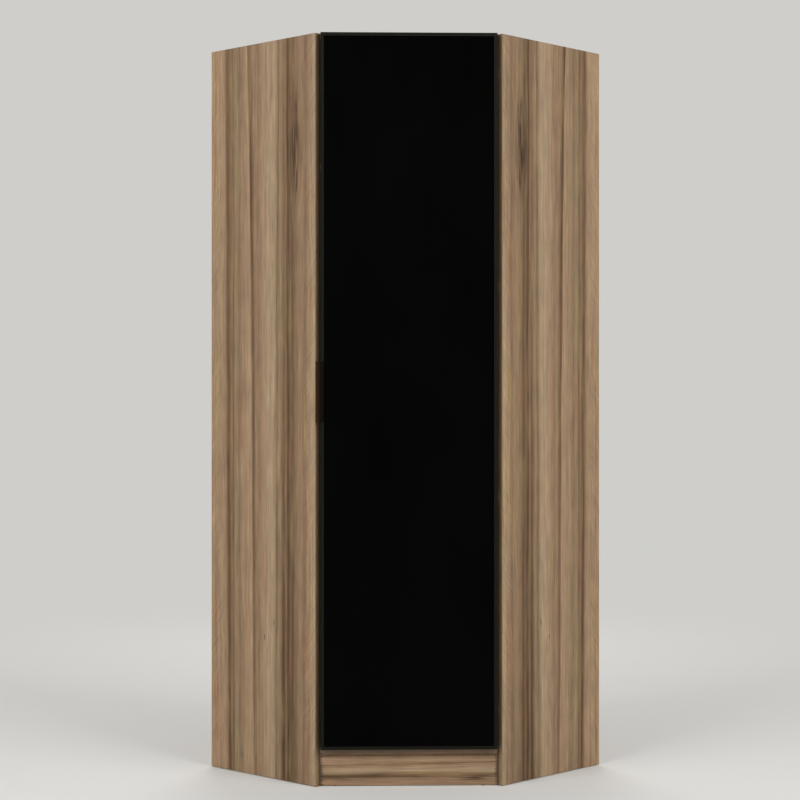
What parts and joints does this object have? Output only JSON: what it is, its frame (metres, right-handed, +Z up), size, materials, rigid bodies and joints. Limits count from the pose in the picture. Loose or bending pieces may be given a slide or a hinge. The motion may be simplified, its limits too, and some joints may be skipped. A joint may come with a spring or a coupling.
{
  "type": "corner wardrobe",
  "caption": "Tall five-sided corner wardrobe: angled wood-decor side panels, a framed black glass door on concealed hinges, hat shelf and hanging rail inside.",
  "frame": {"origin": "on the floor, at the middle of the wardrobe's box", "axes": "+Z up, the closed door faces -Y, +X to the right seen from the front"},
  "size_m": [1.1314, 0.8886, 2.08],
  "materials": {
    "walnut_decor": "walnut-look melamine decor, satin",
    "edge_band": "walnut-look edge band, satin",
    "board_decor": "walnut-look melamine board, satin",
    "back_hardboard": "fibreboard, pale printed face inside",
    "raw_wood": "planed softwood",
    "black_board": "black melamine board",
    "black_glass": "back-painted black glass, gloss",
    "dark_anodised": "dark anodised aluminium, satin",
    "bronze_handle": "dark bronze anodised aluminium, satin",
    "nickel_steel": "nickel-plated steel",
    "zinc_screws": "zinc-plated steel",
    "rail_chrome": "polished chrome",
    "black_plastic": "moulded plastic",
    "bumper_rubber": "soft clear rubber",
    "foam_tape": "foam bonding tape"
  },
  "bodies": {
    "carcass": {"back_corner_post": "raw_wood", "back_panel_screws": "zinc_screws", "bottom_edge_band": "edge_band", "bottom_panel": "board_decor", "bottom_support": "raw_wood", "cam_bolts": "zinc_screws", "cam_locks": "zinc_screws", "catch_screws": "zinc_screws", "dowels": "raw_wood", "floor_glides": "black_plastic", "hanging_rail": "rail_chrome", "hat_shelf": "board_decor", "hinge_arm_1": "nickel_steel", "hinge_arm_2": "nickel_steel", "hinge_arm_3": "nickel_steel", "hinge_arm_4": "nickel_steel", "hinge_arm_screws": "zinc_screws", "hinge_plate_1": "nickel_steel", "hinge_plate_2": "nickel_steel", "hinge_plate_3": "nickel_steel", "hinge_plate_4": "nickel_steel", "hinge_plate_screws": "zinc_screws", "left_back_panel": "back_hardboard", "left_side_edge_band": "walnut_decor", "left_side_panel": "walnut_decor", "magnetic_catch": "black_plastic", "plinth_block_screws": "zinc_screws", "plinth_blocks": "raw_wood", "plinth_board": "walnut_decor", "rail_bracket_left": "rail_chrome", "rail_bracket_right": "rail_chrome", "rail_bracket_screws": "zinc_screws", "rail_end_caps": "black_plastic", "right_back_panel": "back_hardboard", "right_side_edge_band": "walnut_decor", "right_side_panel": "walnut_decor", "shelf_edge_band": "edge_band", "top_edge_band": "edge_band", "top_panel": "board_decor", "wall_bracket_screws": "zinc_screws", "wall_brackets": "nickel_steel"},
    "door": {"door_board": "black_board", "door_glass": "black_glass", "glass_tape": "foam_tape", "door_frame_left": "dark_anodised", "door_frame_right": "dark_anodised", "door_frame_top": "dark_anodised", "door_frame_bottom": "dark_anodised", "door_handle": "bronze_handle", "handle_screws": "zinc_screws", "hinge_cup_1": "nickel_steel", "hinge_cup_2": "nickel_steel", "hinge_cup_3": "nickel_steel", "hinge_cup_4": "nickel_steel", "hinge_pins": "nickel_steel", "hinge_cup_screws": "zinc_screws", "catch_plate": "nickel_steel", "catch_plate_screw": "zinc_screws", "door_bumpers": "bumper_rubber"}
  },
  "joints": [
    {"name": "door_swing", "type": "hinge", "parent": "carcass", "child": "door", "pos_m": [0.23897, -0.42927, 1.09], "axis": [0, 0, 1], "range_deg": [0, 95]}
  ]
}
